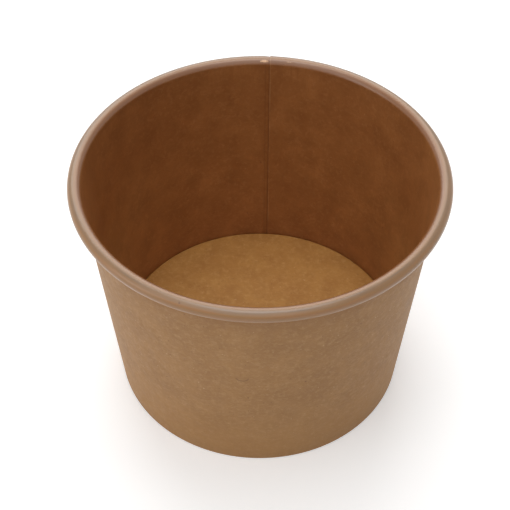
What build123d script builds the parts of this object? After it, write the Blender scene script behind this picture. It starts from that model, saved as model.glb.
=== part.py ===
from math import asin, atan2, cos, degrees, hypot, radians, sin, tan
import os

from build123d import *

# A paper tub for ice cream, in millimetres. The origin is the middle of the bottom edge's ring,
# +Z is up, and the side seam's inner edge lies towards +Y.

# Outside sizes
rim_diameter = 98.0
tub_height = 69.5
foot_diameter = 80.0

# Rolled rim, a little flattened: it is wider than it is high, and its tail is tucked up inside
curl_width = 3.6
curl_height = 3.4
tail_radius = 1.18
tail_turn = 60.0

# Board of the wall's sheet, and the thinner board of the base
wall_board = 0.42
base_board = 0.35

# Bottom: the base's top face, the folded hem and the base's skirt, as heights above the table
base_height = 6.8
hem_height = 5.5
skirt_bottom = 0.7
base_bend_radius = 0.7

# Side seam: the sheet's ends overlap by the lap, and the outer end slopes up over the step. The
# groove beside the inner end's edge fades out over its width.
lap_width = 7.0
step_width = 1.6
groove_depth = 0.28
groove_width = 3.2
lap_tuck = 0.5

# Flats in each bend, few of them so that the part stays light. An odd number round the curl's
# outside puts one of them upright at the rim's full width.
curl_inside_flats = 1
curl_outside_flats = 5
tail_flats = 1
base_flats = 1

# The sheet's mid-line leans so that it runs into the curl without a kink
curl_radius = (curl_height - wall_board) / 2
curl_z = tub_height - curl_height / 2
curl_outer_x = rim_diameter / 2 - curl_height / 2
curl_inner_x = curl_outer_x - (curl_width - curl_height)
fold_z = wall_board / 2
foot_x = foot_diameter / 2 - wall_board / 2
lean_to_centre = atan2(curl_inner_x - foot_x, curl_z)
lean_to_side = asin(curl_radius / hypot(curl_inner_x - foot_x, curl_z))
wall_lean = degrees(lean_to_centre - lean_to_side)


# Radius of the wall's mid-line at a height, or of a line beside it that is nearer the middle
def wall_x(z, inwards=0.0):
    return foot_x + z * tan(radians(wall_lean)) - inwards / cos(radians(wall_lean))


# Corners of a bend in a mid-line: flats touch a circle, and the lines at both ends do too. Each
# angle is that of the point where a line touches.
def bend(centre, radius, first_angle, last_angle, flats):
    turn = (last_angle - first_angle) / (flats + 1)
    reach = radius / cos(radians(turn / 2))
    angles = [radians(first_angle + turn * (count + 0.5)) for count in range(flats + 1)]
    return [(centre[0] + reach * cos(angle), centre[1] + reach * sin(angle)) for angle in angles]


# Upright plane through the middle, turned from +Y towards +X by the angle
def plane_at(angle):
    return Plane.XZ.rotated((0, 0, 90 - angle))


# The curl's mid-line: up and over the top, down the outside to its underside, then the tail
wall_start = (wall_x(base_height), base_height)
curl_in = bend((curl_inner_x, curl_z), curl_radius, 180 - wall_lean, 90, curl_inside_flats)
curl_out = bend((curl_outer_x, curl_z), curl_radius, 90, -90, curl_outside_flats)
tail_centre = (curl_outer_x, curl_z - curl_radius + tail_radius)
curl_tail = bend(tail_centre, tail_radius, -90, -90 - tail_turn, tail_flats)

# Lap of the seam: the sheet's outer end, as a second layer on the wall's outside. It reaches up
# into the curl. One end is the cut edge, and the other slopes down to a single layer.
lap_top = curl_z - lap_tuck
lap_outwards = -(wall_board / 2 + wall_board)
middle_radius = wall_x(tub_height / 2)
lap_angle = degrees(lap_width / middle_radius)
step_angle = degrees(step_width / middle_radius)
with BuildPart() as lap:
    with BuildSketch(plane_at(lap_angle)):
        with BuildLine():
            Polyline(
                (wall_x(0), 0),
                (wall_x(0, lap_outwards), 0),
                (wall_x(lap_top, lap_outwards), lap_top),
                (wall_x(lap_top), lap_top),
                close=True,
            )
        make_face()
    revolve(axis=Axis.Z, revolution_arc=lap_angle + step_angle)
    outside = lap.faces().filter_by(GeomType.CONE).sort_by(SortBy.AREA)[-1]
    long_edges = lap.faces().sort_by(Axis.X)[0].edges().sort_by(SortBy.LENGTH)[-2:]
    step_edge = long_edges.sort_by(Axis.Y)[-1]
    chamfer(step_edge, length=step_width, length2=wall_board, reference=outside)

# Groove that leaves the edge of the sheet's inner end standing, up the wall and over the curl
inner_face = -wall_board / 2
with BuildPart() as seam_groove:
    with BuildLine(plane_at(0)) as seam_line:
        Polyline(wall_start, *curl_in, *curl_out)
    start_plane = Plane(seam_line.line @ 0, x_dir=(1, 0, 0), z_dir=seam_line.line % 0)
    with BuildSketch(start_plane):
        with BuildLine():
            Polyline(
                (0, inner_face + groove_depth),
                (0, inner_face - groove_depth),
                (-groove_width, inner_face - groove_depth),
                close=True,
            )
        make_face()
    sweep(transition=Transition.RIGHT)

# Side wall: one sheet of board, its bottom edge folded in and up, its top edge rolled outwards
hem_inwards = wall_board + base_board
with BuildPart() as sidewall:
    with BuildSketch(Plane.XZ):
        with BuildLine():
            Polyline(
                (wall_x(hem_height, hem_inwards), hem_height),
                (wall_x(fold_z, hem_inwards), fold_z),
                (wall_x(fold_z), fold_z),
                *curl_in,
                *curl_out,
                *curl_tail,
            )
        trace(line_width=wall_board)
    revolve(axis=Axis.Z)
    add(lap.part)
    add(seam_groove.part, mode=Mode.SUBTRACT)
sidewall.part.label = "sidewall"

# Base: a disc with its edge turned down as a skirt, which fills the space inside the hem's fold
skirt_inwards = (wall_board + base_board) / 2
base_z = base_height - base_board / 2
bend_z = base_z - base_bend_radius
bend_centre = (wall_x(bend_z, skirt_inwards + base_bend_radius), bend_z)
with BuildPart() as base_disc:
    with BuildSketch(Plane.XZ):
        with BuildLine():
            Polyline(
                (0, base_z),
                *bend(bend_centre, base_bend_radius, 90, -wall_lean, base_flats),
                (wall_x(skirt_bottom, skirt_inwards), skirt_bottom),
            )
        trace(line_width=base_board)
    revolve(axis=Axis.Z)
base_disc.part.label = "base_disc"

os.makedirs("parts", exist_ok=True)
export_step(sidewall.part, "parts/sidewall.step")
export_step(base_disc.part, "parts/base_disc.step")

for piece in (sidewall.part, base_disc.part):
    size = piece.bounding_box().size
    print(piece.label, "mm3", round(piece.volume), "mm", [round(value, 2) for value in size])
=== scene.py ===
import bpy
import bmesh
from math import asin, atan2, cos, degrees, hypot, pi, radians, sin, tan
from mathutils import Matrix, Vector


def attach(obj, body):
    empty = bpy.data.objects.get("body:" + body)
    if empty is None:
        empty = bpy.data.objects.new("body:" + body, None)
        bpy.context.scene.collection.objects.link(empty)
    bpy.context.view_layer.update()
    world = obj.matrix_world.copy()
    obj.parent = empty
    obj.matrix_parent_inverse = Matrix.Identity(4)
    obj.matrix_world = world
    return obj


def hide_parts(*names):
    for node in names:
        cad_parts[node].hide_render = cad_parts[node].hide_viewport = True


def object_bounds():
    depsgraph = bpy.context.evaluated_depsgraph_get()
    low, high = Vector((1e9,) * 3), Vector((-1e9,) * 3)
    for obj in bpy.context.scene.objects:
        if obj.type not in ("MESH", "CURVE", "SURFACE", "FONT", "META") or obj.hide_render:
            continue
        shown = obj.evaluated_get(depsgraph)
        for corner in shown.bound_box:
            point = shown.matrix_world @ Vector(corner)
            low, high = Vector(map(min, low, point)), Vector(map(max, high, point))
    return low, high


# Paper tub for ice cream: kraft board, one wall sheet with a rolled rim and a lapped seam, and a
# base pressed into it. Metres, z up, and the seam lies towards +Y.
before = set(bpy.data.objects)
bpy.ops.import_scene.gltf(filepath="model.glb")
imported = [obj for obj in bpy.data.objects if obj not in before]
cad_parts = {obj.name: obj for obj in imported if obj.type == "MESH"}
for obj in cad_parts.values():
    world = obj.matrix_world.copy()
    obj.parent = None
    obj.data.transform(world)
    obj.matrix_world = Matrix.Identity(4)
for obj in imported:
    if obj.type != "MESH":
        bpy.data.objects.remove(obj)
cadLow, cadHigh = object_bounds()
mm = 0.001
tiny = 1e-7         # points closer than this are in the same place
slack = 0.1 * mm    # less than the distance between two rows of points
scene = bpy.context.scene
scene.view_settings.view_transform = "Standard"
print("frame loaded")

cameraView = {
    "lens": 85.35,
    "sensor": 36,
    "back": 227.64 * mm,
    "left": 1.28 * mm,
    "height": 275.77 * mm,
    "tilt": 43.80,         # degrees from straight down
    "seamToRight": 3.65,   # degrees from the rear to the seam, as the camera sees it
    "clipStart": 10 * mm,
}


def addCamera(view):
    turn = radians(view["seamToRight"])
    place = (
        -view["left"] * cos(turn) + view["back"] * sin(turn),
        -view["left"] * sin(turn) - view["back"] * cos(turn),
        view["height"],
    )
    bpy.ops.object.camera_add(location=place, rotation=(radians(view["tilt"]), 0, turn))
    camera = bpy.context.object
    camera.name = "tubCamera"
    camera.data.lens = view["lens"]
    camera.data.sensor_width = view["sensor"]
    camera.data.clip_start = view["clipStart"]
    scene.camera = camera


addCamera(cameraView)


# A profile is drawn in the YZ plane, y outwards and z up, and then turned round the z axis
def startProfile(name, y, z):
    bpy.ops.object.select_all(action="DESELECT")
    bpy.ops.mesh.primitive_plane_add(size=mm, location=(0, y, z))
    piece = bpy.context.object
    piece.name = name
    piece.data.name = name
    bpy.ops.object.transform_apply(location=True, rotation=False, scale=False)
    bpy.ops.object.mode_set(mode="EDIT")
    bpy.ops.mesh.select_mode(type="VERT")
    bpy.ops.mesh.select_all(action="SELECT")
    bpy.ops.mesh.merge(type="CENTER")
    return piece


def drawLine(y, z, parts=1):
    step = {"value": (0, y / parts, z / parts)}
    for part in range(parts):
        bpy.ops.mesh.extrude_region_move(TRANSFORM_OT_translate=step)


def drawArc(y, z, turn, steps):   # a positive turn is clockwise, with y to the right
    bpy.ops.mesh.spin(steps=steps, angle=radians(turn), center=(0, y, z), axis=(1, 0, 0))


def turnRound(turn, steps):   # a positive turn is clockwise seen from above
    bpy.ops.mesh.spin(steps=steps, angle=radians(turn), center=(0, 0, 0), axis=(0, 0, 1))


def stretchSideways(share, x=0, y=0):
    bpy.ops.transform.resize(value=(share, share, 1), center_override=(x, y, 0))


def selectVerts(piece, test, among=None):
    mesh = bmesh.from_edit_mesh(piece.data)
    mesh.verts.index_update()
    for vert in mesh.verts:
        vert.select = (among is None or vert.index in among) and test(vert.co)
    mesh.select_flush_mode()
    bmesh.update_edit_mesh(piece.data)


def selectedVerts(piece):
    mesh = bmesh.from_edit_mesh(piece.data)
    mesh.verts.index_update()
    return {vert.index for vert in mesh.verts if vert.select}


def faceTowards(piece, test, direction):   # flips the sheet if the faces that pass look away
    mesh = bmesh.from_edit_mesh(piece.data)
    facing = 0
    for face in mesh.faces:
        middle = face.calc_center_median()
        if test(middle):
            facing += face.normal.dot(direction(middle))
    if facing < 0:
        bpy.ops.mesh.select_all(action="SELECT")
        bpy.ops.mesh.flip_normals()


smoothBelow = 40   # degrees between two faces


def giveThickness(piece, board):
    for slot in range(3):   # one face, the other face and the cut edges, filled further down
        piece.data.materials.append(None)
    solid = piece.modifiers.new("board", "SOLIDIFY")
    solid.thickness = board
    solid.offset = 0
    solid.use_even_offset = True
    solid.material_offset = 1       # the other face
    solid.material_offset_rim = 2   # the cut edges
    bpy.ops.object.modifier_apply(modifier="board")
    bpy.ops.object.shade_smooth_by_angle(angle=radians(smoothBelow))


wall = {
    "board": 0.42 * mm,
    "footRadius": 40.0 * mm,
    "curlWidth": 3.6 * mm,
    "curlHeight": 3.4 * mm,
    "tailRadius": 1.18 * mm,
    "tailTurn": 112,          # degrees that the tail goes on from the curl's underside
    "hemHeight": 5.5 * mm,
    "footLift": 0.004 * mm,   # keeps the fold off the frame's underside
    "lapWidth": 7.0 * mm,
    "stepWidth": 1.6 * mm,
    "endGap": 0.1,            # degrees that the outer end stays short of a full lap
    "endLift": 0.10 * mm,     # how far the sheet's inner end stands up at the rim
    # beyond each share of the lap's width, the end rises by a share of its lift
    "endRise": ((0.99, 0.5), (0.90, 0.3), (0.82, 0.2)),
    "rimStep": 0.3,           # share of the board that the rim steps down beside the seam
    "ribDepth": 0.07 * mm,
    "columns": 446,
    "lapColumns": 12,
    "stepColumns": 6,
    "wallRows": 12,
    "hemRows": 4,
    "curlInSteps": 8,
    "curlOutSteps": 16,
    "tailSteps": 9,
    "foldSteps": 8,
}
base = {
    "board": 0.35 * mm,
    "height": 6.8 * mm,
    "skirtBottom": 0.7 * mm,
    "bendRadius": 0.7 * mm,
    "columns": 240,
    "rings": 14,
    "bendSteps": 7,
    "skirtRows": 3,
    "mergeWithin": 0.002 * mm,
}

# the middle line of the wall's board, from the frame's outside sizes
rimRadius = cadHigh[0] - wall["endLift"]
rimTop = cadHigh[2] - wall["endLift"]
curlRadius = (wall["curlHeight"] - wall["board"]) / 2
curlZ = rimTop - wall["curlHeight"] / 2
curlOuterY = rimRadius - wall["curlHeight"] / 2
curlInnerY = curlOuterY - (wall["curlWidth"] - wall["curlHeight"])
curlUnderside = curlZ - curlRadius
footY = wall["footRadius"] - wall["board"] / 2
lean = atan2(curlInnerY - footY, curlZ) - asin(curlRadius / hypot(curlInnerY - footY, curlZ))
curlStartY = curlInnerY - curlRadius * cos(lean)
curlStartZ = curlZ + curlRadius * sin(lean)


def wallY(z):
    return footY + z * tan(lean)


# the fold goes round the base's skirt
foldRadius = (wall["board"] + base["board"]) / 2
foldZ = foldRadius + wall["board"] / 2 + wall["footLift"]
foldY = wallY(foldZ) - foldRadius * cos(lean)
bottomY = foldY + foldRadius * cos(lean)
bottomZ = foldZ - foldRadius * sin(lean)
hemGap = 2 * foldRadius / cos(lean)

lapAngle = degrees(wall["lapWidth"] / wallY(rimTop / 2))
stepAngle = degrees(wall["stepWidth"] / wallY(rimTop / 2))
roundAngle = 360 - lapAngle - stepAngle


def azimuth(co):   # from +Y towards +X
    return atan2(co.x, co.y) % (2 * pi)


def onHem(co):   # low, and nearer to the hem than to the wall
    return co.z < wall["hemHeight"] + mm and hypot(co.x, co.y) < wallY(co.z) - 0.6 * hemGap


def inFold(co):
    return co.z < bottomZ - tiny and not onHem(co)


def onWall(co):
    return co.z < curlStartZ - mm and not onHem(co) and not inFold(co)


def onStart(co):   # where the full profile starts
    return abs(co.x) < tiny


def footOfHem(piece, column):   # where the hem leaves the fold in one column of points
    mesh = bmesh.from_edit_mesh(piece.data)
    mesh.verts.ensure_lookup_table()
    places = [mesh.verts[index].co.copy() for index in column]
    return min((co for co in places if co.z < foldZ + slack), key=lambda co: hypot(co.x, co.y))


# Wall and curl of the sheet's inner end, which has no fold and no tail
def drawInnerEnd():
    sheet = startProfile("wallSheet", bottomY, bottomZ)
    drawLine(curlStartY - bottomY, curlStartZ - bottomZ, wall["wallRows"])
    drawArc(curlInnerY, curlZ, 90 - degrees(lean), wall["curlInSteps"])
    drawLine(curlOuterY - curlInnerY, 0)
    drawArc(curlOuterY, curlZ, 180, wall["curlOutSteps"])
    bpy.ops.mesh.select_all(action="SELECT")
    turnRound(-lapAngle, wall["lapColumns"])

    # its free edge stands up a little where it goes over the curl
    for reach, share in wall["endRise"]:
        beyond = radians(lapAngle) * reach
        selectVerts(sheet, lambda co: co.z > curlStartZ and atan2(-co.x, co.y) > beyond)
        bpy.ops.transform.shrink_fatten(value=wall["endLift"] * share)
    return sheet


# From there on the full profile goes round: fold and hem below, tail above
def drawRound(sheet):
    selectVerts(sheet, lambda co: onStart(co) and co.z < bottomZ + tiny)
    drawArc(foldY, foldZ, 180, wall["foldSteps"])
    hemRise = wall["hemHeight"] - foldZ
    drawLine(hemRise * tan(lean), hemRise, wall["hemRows"])

    def endsCurl(co):
        return onStart(co) and abs(co.z - curlUnderside) < tiny and co.y > curlInnerY

    selectVerts(sheet, endsCurl)
    drawArc(curlOuterY, curlUnderside + wall["tailRadius"], wall["tailTurn"], wall["tailSteps"])
    selectVerts(sheet, onStart)
    turnRound(roundAngle, wall["columns"])


# The outer end steps out by one board, then runs over the inner end. The rolled rim is pressed
# together, so its step is only a part of the board.
def drawOuterEnd(sheet):
    step = wall["board"] / wall["stepColumns"]
    width = hemGap
    for count in range(wall["stepColumns"]):
        turnRound(stepAngle / wall["stepColumns"], 1)
        column = selectedVerts(sheet)
        selectVerts(sheet, onWall, column)
        bpy.ops.transform.shrink_fatten(value=-step)
        selectVerts(sheet, lambda co: co.z > curlStartZ - mm, column)
        bpy.ops.transform.shrink_fatten(value=-step * wall["rimStep"])
        hemFoot = footOfHem(sheet, column)
        selectVerts(sheet, inFold, column)
        stretchSideways((width + step) / width, hemFoot.x, hemFoot.y)
        width += step
        selectVerts(sheet, lambda co: True, column)
    turnRound(lapAngle - wall["endGap"], wall["lapColumns"])


def pressRibs(sheet):   # every other column of the hem is drawn in
    pitch = radians(roundAngle / wall["columns"])

    def onRib(co):
        return co.z > foldZ + slack and onHem(co) and round(azimuth(co) / pitch) % 2 == 0

    selectVerts(sheet, onRib)
    stretchSideways(1 - wall["ribDepth"] / (wallY(0) - hemGap))


def makeWallSheet():
    sheet = drawInnerEnd()
    drawRound(sheet)
    drawOuterEnd(sheet)
    pressRibs(sheet)

    # turned so that the inner end's edge lies towards +Y
    bpy.ops.mesh.select_all(action="SELECT")
    turn = radians(lapAngle)
    bpy.ops.transform.rotate(value=turn, orient_axis="Z", center_override=(0, 0, 0))
    bpy.ops.mesh.normals_make_consistent(inside=False)
    low, high = 20 * mm, 50 * mm   # between these heights there is only the wall
    faceTowards(sheet, lambda co: low < co.z < high, lambda co: -co.xy.to_3d())
    bpy.ops.object.mode_set(mode="OBJECT")
    giveThickness(sheet, wall["board"])
    return sheet


def makeBase():
    discZ = base["height"] - base["board"] / 2
    bendZ = discZ - base["bendRadius"]
    bendY = wallY(bendZ) - (foldRadius + base["bendRadius"]) / cos(lean)
    bendStartY = bendY + base["bendRadius"] * cos(lean)
    bendStartZ = bendZ - base["bendRadius"] * sin(lean)
    skirtY = wallY(base["skirtBottom"]) - foldRadius / cos(lean)

    disc = startProfile("baseDisc", skirtY, base["skirtBottom"])
    drawLine(bendStartY - skirtY, bendStartZ - base["skirtBottom"], base["skirtRows"])
    drawArc(bendY, bendZ, -90 - degrees(lean), base["bendSteps"])
    drawLine(-bendY, 0, base["rings"])
    bpy.ops.mesh.select_all(action="SELECT")
    turnRound(360, base["columns"])
    bpy.ops.mesh.select_all(action="SELECT")
    bpy.ops.mesh.remove_doubles(threshold=base["mergeWithin"])
    bpy.ops.mesh.normals_make_consistent(inside=False)
    faceTowards(disc, lambda co: co.z > discZ - slack, lambda co: Vector((0, 0, 1)))
    bpy.ops.object.mode_set(mode="OBJECT")
    giveThickness(disc, base["board"])
    return disc


wallSheet = makeWallSheet()
baseDisc = makeBase()
for piece in (wallSheet, baseDisc):
    print(piece.name, "has", len(piece.data.polygons), "faces")


# Node helpers. A value is a number, a tuple or another node's output.
def addNode(tree, kind, **settings):
    node = tree.nodes.new(kind)
    for key, value in settings.items():
        setattr(node, key, value)
    return node


def plug(tree, value, socket):
    if isinstance(value, bpy.types.NodeSocket):
        tree.links.new(value, socket)
    else:
        socket.default_value = value


def feed(tree, node, values):
    for name, value in values.items():
        plug(tree, value, node.inputs[name])
    return node


def maths(tree, operation, first, second=0.0):
    node = addNode(tree, "ShaderNodeMath", operation=operation)
    plug(tree, first, node.inputs[0])
    plug(tree, second, node.inputs[1])
    return node.outputs[0]


def vectorMaths(tree, operation, first, second=(0, 0, 0)):
    node = addNode(tree, "ShaderNodeVectorMath", operation=operation)
    plug(tree, first, node.inputs[0])
    plug(tree, second, node.inputs[1])
    return node.outputs["Value" if operation == "LENGTH" else "Vector"]


def splitPlace(tree, place):
    parts = addNode(tree, "ShaderNodeSeparateXYZ")
    tree.links.new(place, parts.inputs[0])
    return parts.outputs


def joinPlace(tree, x, y, z):
    place = addNode(tree, "ShaderNodeCombineXYZ")
    return feed(tree, place, {"X": x, "Y": y, "Z": z}).outputs[0]


def blendColours(tree, amount, under, over):
    node = addNode(tree, "ShaderNodeMix", data_type="RGBA")
    tree.links.new(amount, node.inputs[0])
    for value, socket in ((under, node.inputs[6]), (over, node.inputs[7])):   # the two colours
        plug(tree, (*value, 1) if isinstance(value, tuple) else value, socket)
    return node.outputs[2]


def fade(tree, value, none, full, strength=1.0):   # from 0 to the strength between two values
    spread = addNode(tree, "ShaderNodeMapRange", clamp=True)
    feed(tree, spread, {"Value": value, "From Min": none, "From Max": full, "To Max": strength})
    return spread.outputs["Result"]


def fadeFrom(tree, value, start, none, full, strength=1.0):
    return fade(tree, value, start + none, start + full, strength)


def patches(tree, where, size, low, high, detail=2.0, rough=0.5, strength=1.0):
    noise = addNode(tree, "ShaderNodeTexNoise")
    feed(tree, noise, {"Vector": where, "Scale": 1 / size, "Detail": detail, "Roughness": rough})
    return fade(tree, noise.outputs["Fac"], low, high, strength)


def fibres(tree, where, turn, length, width, low, high, strength):
    laid = addNode(tree, "ShaderNodeMapping", vector_type="TEXTURE")
    rotation = (0, 0, radians(turn))
    feed(tree, laid, {"Vector": where, "Rotation": rotation, "Scale": (length, width, width)})
    return patches(tree, laid.outputs[0], 1.0, low, high, detail=1.0, strength=strength)


raggedEdge = {"size": 0.5 * mm, "low": 0.3, "high": 0.7, "detail": 2, "rough": 0.6}
spotCore = 0.6   # share of its reach up to which a spot has its full strength


def spot(tree, where, centre, reach, strength, ragged):   # centre and reach in millimetres
    offset = vectorMaths(tree, "SUBTRACT", where, [value * mm for value in centre])
    share = vectorMaths(tree, "DIVIDE", offset, [value * mm for value in reach])
    torn = patches(tree, where, strength=ragged, **raggedEdge)
    edge = maths(tree, "ADD", vectorMaths(tree, "LENGTH", share), torn)
    return fade(tree, edge, 1.0, spotCore, strength)


sheetRadius = 44 * mm   # at which the distance round the tub is measured


def alongBoard(tree, place, seamTurn):   # distance round, height and radius, cut at the seam
    turned = addNode(tree, "ShaderNodeMapping")
    feed(tree, turned, {"Vector": place, "Rotation": (0, 0, seamTurn)})
    x, y, z = splitPlace(tree, turned.outputs[0])
    angle = maths(tree, "ARCTAN2", x, maths(tree, "MULTIPLY", y, -1.0))
    radius = vectorMaths(tree, "LENGTH", joinPlace(tree, x, y, 0.0))
    return joinPlace(tree, maths(tree, "MULTIPLY", angle, sheetRadius), z, radius)


# Marks of making and use, and painted shade, sheen and light.
# A fade is where it starts, where it is full, and its strength.
insideMarks = {
    "blotches": {
        "size": 9 * mm, "low": 0.42, "high": 0.62, "detail": 3, "rough": 0.55, "strength": 0.3,
    },
    "wrinkles": {
        "turn": 90, "length": 14 * mm, "width": 0.45 * mm, "low": 0.5, "high": 0.8, "strength": 0.6,
    },
    "wrinklesUp": (58 * mm, 66 * mm),
    "flecks": (
        (-2.31, 42.46, 34.2), (32.37, 26.60, 26.67), (-6.16, 40.41, 14.72), (-15.7, -45.85, 69.1),
    ),
    "fleckReach": (0.42, 0.9, 0.38),
    "fleckStrength": 0.6,
    "fleckRagged": 0.3,
}
rimMarks = {
    "streaks": {
        "turn": 0, "length": 9 * mm, "width": 0.5 * mm, "low": 0.25, "high": 0.6, "strength": 0.45,
    },
    # the first colour is painted shade on the curl's inner side
    "innerColour": (0.20, 0.076, 0.021),
    "rolledColour": (0.31, 0.158, 0.050),
    # painted sheen and painted shade on the rim's top and outer side
    "topSheenShadeColour": (0.185, 0.110, 0.060),
    # radii from the middle of the curl's inner bend, and a height from the rim's top
    "inner": (-1.8 * mm, -1.3 * mm, 0.85),
    "rolled": (-1.0 * mm, 0.2 * mm),
    "outwards": (-0.3 * mm, 0.5 * mm, 0.9),
    "onTop": (-0.7 * mm, -0.15 * mm),
}
seamMarks = {
    # painted shade left of the inner end's edge, and a painted highlight on the edge to its right
    "shadeBand": (1.7 * mm, 0, 0.28),
    "creaseShade": (0.95 * mm, 1.05 * mm),
    "creaseShadeEnd": (1.35 * mm, 1.25 * mm, 0.15),
    "gapShade": (0.42 * mm, 0.21 * mm, 0.2),
    "seamShadeColour": (0.10, 0.035, 0.012),
    "edge": (0.35 * mm, 0.245 * mm),
    "edgeHighlightColour": (0.52, 0.29, 0.13),
    "uneven": {
        "size": 5 * mm, "low": 0.35, "high": 0.65, "detail": 2, "rough": 0.6, "strength": 0.35,
    },
    # a pale spot each side: distance from the seam, height and radius, then its reach and strength
    "paleSpots": (
        ((1.6, 68.9, 45.95), (1.5, 0.45, 0.6), 0.9),
        ((-5.2, 69.0, 46.1), (1.2, 0.22, 0.3), 0.5),
    ),
    "paleSpotColour": (0.86, 0.52, 0.28),
    "paleSpotRagged": 0.35,
}
wallMarks = {
    # painted shade: the wall's outside darker towards the rim, under its overhang
    "underRimShade": (58 * mm, 67 * mm, 0.8),
    "underRimShadeColour": (0.33, 0.160, 0.064),
    # painted light from the floor: paler and more golden towards the foot
    "footBounceLight": (24 * mm, 4 * mm, 0.6),
    "footBounceLightColour": (0.47, 0.240, 0.078),
    # a fine line on the front: the lower arc of a circle, x and z of its middle
    "lineMiddle": (-1.7 * mm, 39.7 * mm),
    "lineRadius": 1.6 * mm,
    "line": (0.24 * mm, 0.10 * mm, 0.5),
    "lower": (-0.3 * mm, -0.7 * mm),
    "front": (-30 * mm, -35 * mm),
    "dots": ((-0.27, -42.60, 30.59), (14.0, -40.9, 36.0)),
    "dotReach": (0.34, 1.0, 0.34),
    "dotStrength": 0.75,
    "dotRagged": 0.3,
}


def markInside(tree, place, along, colour, look):
    sideways, height, radius = splitPlace(tree, along)
    onLeft = maths(tree, "ADD", sideways, pi * sheetRadius)
    onRight = maths(tree, "SUBTRACT", pi * sheetRadius, sideways)

    # large blotches, and upright wrinkles from the rolling, near the rim
    blotches = patches(tree, place, **insideMarks["blotches"])
    colour = blendColours(tree, blotches, colour, look["deep"])
    wrinkles = fibres(tree, along, **insideMarks["wrinkles"])
    wrinkles = maths(tree, "MULTIPLY", wrinkles, fade(tree, height, *insideMarks["wrinklesUp"]))
    colour = blendColours(tree, wrinkles, colour, look["deep"])

    # the rolled rim: painted shade on its inner side, and a golden tone further out
    inner = fadeFrom(tree, radius, curlInnerY, *rimMarks["inner"])
    colour = blendColours(tree, inner, colour, rimMarks["innerColour"])
    streaks = fibres(tree, along, **rimMarks["streaks"])
    rolled = fadeFrom(tree, radius, curlInnerY, *rimMarks["rolled"])
    golden = blendColours(tree, streaks, rimMarks["rolledColour"], look["main"])
    colour = blendColours(tree, rolled, colour, golden)
    # painted sheen and painted shade: a greyer, darker tone on the rim's top and outer side
    outwards = fadeFrom(tree, radius, curlInnerY, *rimMarks["outwards"])
    onTop = fadeFrom(tree, height, rimTop, *rimMarks["onTop"])
    topSheenShade = maths(tree, "MULTIPLY", outwards, onTop)
    topSheenShadeGrey = blendColours(tree, streaks, rimMarks["topSheenShadeColour"], rimMarks["rolledColour"])
    colour = blendColours(tree, topSheenShade, colour, topSheenShadeGrey)

    # the seam: painted shade in a band, a crease and a gap beside the sheet's inner end
    colour = blendColours(tree, fade(tree, onLeft, *seamMarks["shadeBand"]), colour, look["deep"])
    creaseShade = fade(tree, onLeft, *seamMarks["creaseShade"])
    creaseShade = maths(tree, "MULTIPLY", creaseShade, fade(tree, onLeft, *seamMarks["creaseShadeEnd"]))
    colour = blendColours(tree, creaseShade, colour, seamMarks["seamShadeColour"])
    gapShade = fade(tree, onLeft, *seamMarks["gapShade"])
    colour = blendColours(tree, gapShade, colour, seamMarks["seamShadeColour"])
    # a painted highlight: a paler strip where the inner end's edge catches the light
    uneven = patches(tree, along, **seamMarks["uneven"])
    edge = maths(tree, "MULTIPLY", uneven, fade(tree, onRight, *seamMarks["edge"]))
    colour = blendColours(tree, edge, colour, seamMarks["edgeHighlightColour"])

    # pale spots on the rim, one on each side of the seam
    besideLeft = joinPlace(tree, onLeft, height, radius)
    besideRight = joinPlace(tree, maths(tree, "MULTIPLY", onRight, -1.0), height, radius)
    for beside, (centre, reach, strength) in zip((besideLeft, besideRight), seamMarks["paleSpots"]):
        paleSpot = spot(tree, beside, centre, reach, strength, seamMarks["paleSpotRagged"])
        colour = blendColours(tree, paleSpot, colour, seamMarks["paleSpotColour"])
    for centre in insideMarks["flecks"]:
        fleck = spot(tree, place, centre, insideMarks["fleckReach"],
                     insideMarks["fleckStrength"], insideMarks["fleckRagged"])
        colour = blendColours(tree, fleck, colour, look["darkFleck"])
    return colour


def markOutside(tree, place, along, colour, look):
    x, y, z = splitPlace(tree, place)
    # painted shade under the rim's overhang
    underRimShade = fade(tree, z, *wallMarks["underRimShade"])
    colour = blendColours(tree, underRimShade, colour, wallMarks["underRimShadeColour"])
    # painted light from the floor near the foot
    footBounceLight = fade(tree, z, *wallMarks["footBounceLight"])
    colour = blendColours(tree, footBounceLight, colour, wallMarks["footBounceLightColour"])

    middleX, middleZ = wallMarks["lineMiddle"]
    across = maths(tree, "SUBTRACT", x, middleX)
    up = maths(tree, "SUBTRACT", z, middleZ)
    reach = vectorMaths(tree, "LENGTH", joinPlace(tree, across, 0.0, up))
    away = maths(tree, "ABSOLUTE", maths(tree, "SUBTRACT", reach, wallMarks["lineRadius"]))
    line = fade(tree, away, *wallMarks["line"])
    line = maths(tree, "MULTIPLY", line, fade(tree, up, *wallMarks["lower"]))
    line = maths(tree, "MULTIPLY", line, fade(tree, y, *wallMarks["front"]))
    colour = blendColours(tree, line, colour, look["darkFleck"])
    for centre in wallMarks["dots"]:
        dot = spot(tree, place, centre, wallMarks["dotReach"],
                   wallMarks["dotStrength"], wallMarks["dotRagged"])
        colour = blendColours(tree, dot, colour, look["darkFleck"])
    return colour


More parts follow.
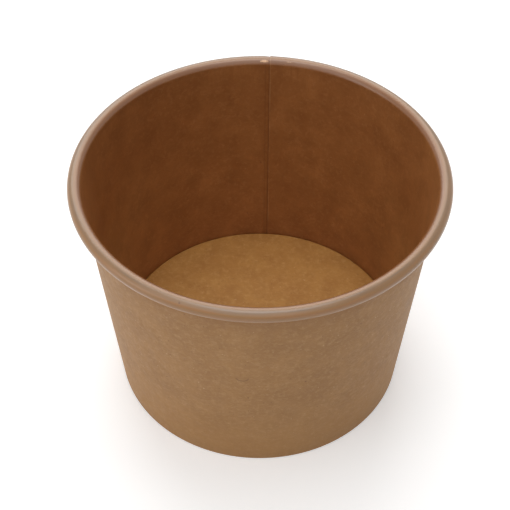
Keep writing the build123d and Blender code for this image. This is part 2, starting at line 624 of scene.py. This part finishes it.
# Grain that all the boards share
boardGrain = {
    "clouds": {"size": 7 * mm, "low": 0.35, "high": 0.65, "detail": 4, "rough": 0.6},
    "paleMottle": {
        "size": 1.3 * mm, "low": 0.5, "high": 0.75, "detail": 3, "rough": 0.6, "strength": 0.6,
    },
    "deepMottle": {
        "size": 0.8 * mm, "low": 0.52, "high": 0.72, "detail": 2, "rough": 0.6, "strength": 0.5,
    },
    "long": {"turn": 14, "length": 2.2 * mm, "width": 0.16 * mm, "low": 0.62, "high": 0.74},
    "cross": {"turn": 82, "length": 1.8 * mm, "width": 0.14 * mm, "low": 0.62, "high": 0.74},
    "slant": {"turn": -38, "length": 2.0 * mm, "width": 0.15 * mm, "low": 0.63, "high": 0.75},
    "darkFlecks": {"size": 0.55 * mm, "low": 0.73, "high": 0.78, "detail": 1, "rough": 0.4},
    "paleFlecks": {"size": 0.7 * mm, "low": 0.74, "high": 0.80, "detail": 1, "rough": 0.4},
    "glossPatches": {"size": 2.0 * mm, "low": 0.3, "high": 0.7, "detail": 3, "rough": 0.6},
    "glossSpread": 0.06,
    "bumps": {"size": 0.6 * mm, "low": 0.2, "high": 0.8, "detail": 3, "rough": 0.6},
    "bumpDepth": 0.05 * mm,
    "coatIor": 1.6,
}


def kraftBoard(name, look, flat=False, seamTurn=0.0, marks=None):
    material = bpy.data.materials.new(name)
    material.use_nodes = True
    tree = material.node_tree
    shader = tree.nodes["Principled BSDF"]
    place = addNode(tree, "ShaderNodeTexCoord").outputs["Object"]
    along = place if flat else alongBoard(tree, place, seamTurn)

    clouds = patches(tree, place, **boardGrain["clouds"])
    paleMottle = patches(tree, place, **boardGrain["paleMottle"])
    deepMottle = patches(tree, place, **boardGrain["deepMottle"])
    long = fibres(tree, along, strength=look["fibres"], **boardGrain["long"])
    cross = fibres(tree, along, strength=look["fibres"], **boardGrain["cross"])
    slant = fibres(tree, along, strength=look["fibres"], **boardGrain["slant"])
    darkFlecks = patches(tree, place, strength=look["flecks"], **boardGrain["darkFlecks"])
    paleFlecks = patches(tree, place, strength=look["flecks"], **boardGrain["paleFlecks"])
    colour = blendColours(tree, clouds, look["deep"], look["main"])
    for amount, tone in (
        (paleMottle, "pale"), (deepMottle, "deep"), (long, "pale"), (cross, "deep"),
        (slant, "pale"), (darkFlecks, "darkFleck"), (paleFlecks, "paleFleck"),
    ):
        colour = blendColours(tree, amount, colour, look[tone])
    if marks:
        colour = marks(tree, place, along, colour, look)

    gloss = addNode(tree, "ShaderNodeMapRange")
    feed(tree, gloss, {
        "Value": patches(tree, place, **boardGrain["glossPatches"]),
        "To Min": look["roughness"] - boardGrain["glossSpread"],
        "To Max": look["roughness"] + boardGrain["glossSpread"],
    })
    ridges = maths(tree, "ADD", long, slant)
    bump = addNode(tree, "ShaderNodeBump")
    feed(tree, bump, {
        "Strength": look["grain"],
        "Distance": boardGrain["bumpDepth"],
        "Height": maths(tree, "ADD", ridges, patches(tree, place, **boardGrain["bumps"])),
    })
    feed(tree, shader, {
        "Base Color": colour,
        "Roughness": gloss.outputs["Result"],
        "Coat Weight": look["coat"],
        "Coat Roughness": look["coatRoughness"],
        "Coat IOR": boardGrain["coatIor"],
        "Specular IOR Level": look["specular"],
        "Normal": bump.outputs[0],
    })
    return material


outsideLook = {
    "main": (0.42, 0.220, 0.082), "deep": (0.36, 0.182, 0.066), "pale": (0.52, 0.31, 0.14),
    "darkFleck": (0.17, 0.08, 0.035), "paleFleck": (0.64, 0.46, 0.26),
    "fibres": 0.5, "flecks": 0.6, "grain": 0.5,
    "roughness": 0.6, "coat": 0.0, "coatRoughness": 0.3, "specular": 0.35,
}
insideLook = {
    "main": (0.375, 0.148, 0.042), "deep": (0.275, 0.100, 0.026), "pale": (0.45, 0.20, 0.070),
    "darkFleck": (0.14, 0.05, 0.02), "paleFleck": (0.48, 0.25, 0.11),
    "fibres": 0.35, "flecks": 0.45, "grain": 0.3,
    "roughness": 0.6, "coat": 0.9, "coatRoughness": 0.29, "specular": 0.15,
}
baseLook = {
    "main": (0.50, 0.250, 0.063), "deep": (0.41, 0.190, 0.045), "pale": (0.59, 0.34, 0.11),
    "darkFleck": (0.22, 0.10, 0.03), "paleFleck": (0.68, 0.45, 0.22),
    "fibres": 0.35, "flecks": 0.5, "grain": 0.3,
    "roughness": 0.6, "coat": 0.4, "coatRoughness": 0.35, "specular": 0.2,
}
cutLook = {
    "main": (0.60, 0.42, 0.25), "deep": (0.50, 0.33, 0.18), "pale": (0.70, 0.54, 0.36),
    "darkFleck": (0.2, 0.1, 0.05), "paleFleck": (0.75, 0.62, 0.45),
    "fibres": 0.3, "flecks": 0.4, "grain": 0.5,
    "roughness": 0.85, "coat": 0.0, "coatRoughness": 0.3, "specular": 0.3,
}
seamOutside = radians(lapAngle)
outsideBoard = kraftBoard("kraftOutside", outsideLook, seamTurn=seamOutside, marks=markOutside)
insideBoard = kraftBoard("kraftInside", insideLook, marks=markInside)
baseTop = kraftBoard("kraftBaseTop", baseLook, flat=True)
baseBelow = kraftBoard("kraftBaseBelow", outsideLook, flat=True)
cutEdge = kraftBoard("kraftCutEdge", cutLook)
for piece, finishes in (
    (wallSheet, (insideBoard, outsideBoard, cutEdge)),
    (baseDisc, (baseTop, baseBelow, cutEdge)),
):
    for slot, finish in enumerate(finishes):
        piece.data.materials[slot] = finish
print("materials made")

studio = {
    "worldLevel": 0.20,
    "floorSize": 4.0,
    "floorColour": (0.9, 0.9, 0.9, 1),
    "floorGlow": 0.36,
    "lights": {
        "rearLight": {"place": (-0.12, 0.58, 0.52), "width": 0.7, "depth": 0.46, "power": 2.5},
        "topLight": {"place": (-0.02, 0.12, 0.86), "width": 0.45, "depth": 0.50, "power": 2.6},
        "frontLight": {"place": (-0.12, -0.45, 0.72), "width": 1.2, "depth": 0.8, "power": 2.5},
        "leftLight": {"place": (-0.68, -0.34, 0.30), "width": 0.4, "depth": 0.4, "power": 0.7},
    },
}


def seenDirectly(tree):   # camera, glossy and transmission rays
    path = addNode(tree, "ShaderNodeLightPath")
    first = maths(tree, "MAXIMUM", path.outputs["Is Camera Ray"], path.outputs["Is Glossy Ray"])
    return maths(tree, "MAXIMUM", first, path.outputs["Is Transmission Ray"])


def makeFloor():   # it glows where it is seen, but not as a light
    bpy.ops.object.select_all(action="DESELECT")
    bpy.ops.mesh.primitive_plane_add(size=studio["floorSize"], location=(0, 0, 0))
    floor = bpy.context.object
    floor.name = "studioFloor"
    material = bpy.data.materials.new("studioFloor")
    material.use_nodes = True
    tree = material.node_tree
    tree.nodes.clear()
    lit = feed(tree, addNode(tree, "ShaderNodeBsdfDiffuse"), {"Color": studio["floorColour"]})
    glow = feed(tree, addNode(tree, "ShaderNodeEmission"), {"Strength": studio["floorGlow"]})
    both = addNode(tree, "ShaderNodeAddShader")
    tree.links.new(lit.outputs[0], both.inputs[0])
    tree.links.new(glow.outputs[0], both.inputs[1])
    choice = addNode(tree, "ShaderNodeMixShader")
    tree.links.new(seenDirectly(tree), choice.inputs[0])
    tree.links.new(lit.outputs[0], choice.inputs[1])
    tree.links.new(both.outputs[0], choice.inputs[2])
    output = addNode(tree, "ShaderNodeOutputMaterial")
    tree.links.new(choice.outputs[0], output.inputs["Surface"])
    floor.data.materials.append(material)


def makeWorld():   # white where it is seen, and dimmer as a light
    world = bpy.data.worlds.new("studioWorld")
    world.use_nodes = True
    tree = world.node_tree
    extra = maths(tree, "MULTIPLY", seenDirectly(tree), 1 - studio["worldLevel"])
    level = maths(tree, "ADD", extra, studio["worldLevel"])
    feed(tree, tree.nodes["Background"], {"Color": (1, 1, 1, 1), "Strength": level})
    scene.world = world


def addSoftLight(name, light):   # aimed at the middle of the tub
    place = Vector(light["place"])
    aim = (place - Vector((0, 0, rimTop / 2))).to_track_quat("Z", "Y").to_euler()
    bpy.ops.object.light_add(type="AREA", location=place, rotation=aim)
    lamp = bpy.context.object
    lamp.name = name
    lamp.data.shape = "RECTANGLE"
    lamp.data.size = light["width"]
    lamp.data.size_y = light["depth"]
    lamp.data.energy = light["power"]


makeFloor()
makeWorld()
for name, light in studio["lights"].items():
    addSoftLight(name, light)
print("studio made")

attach(wallSheet, "root")
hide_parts("sidewall")
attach(baseDisc, "root")
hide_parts("base_disc")
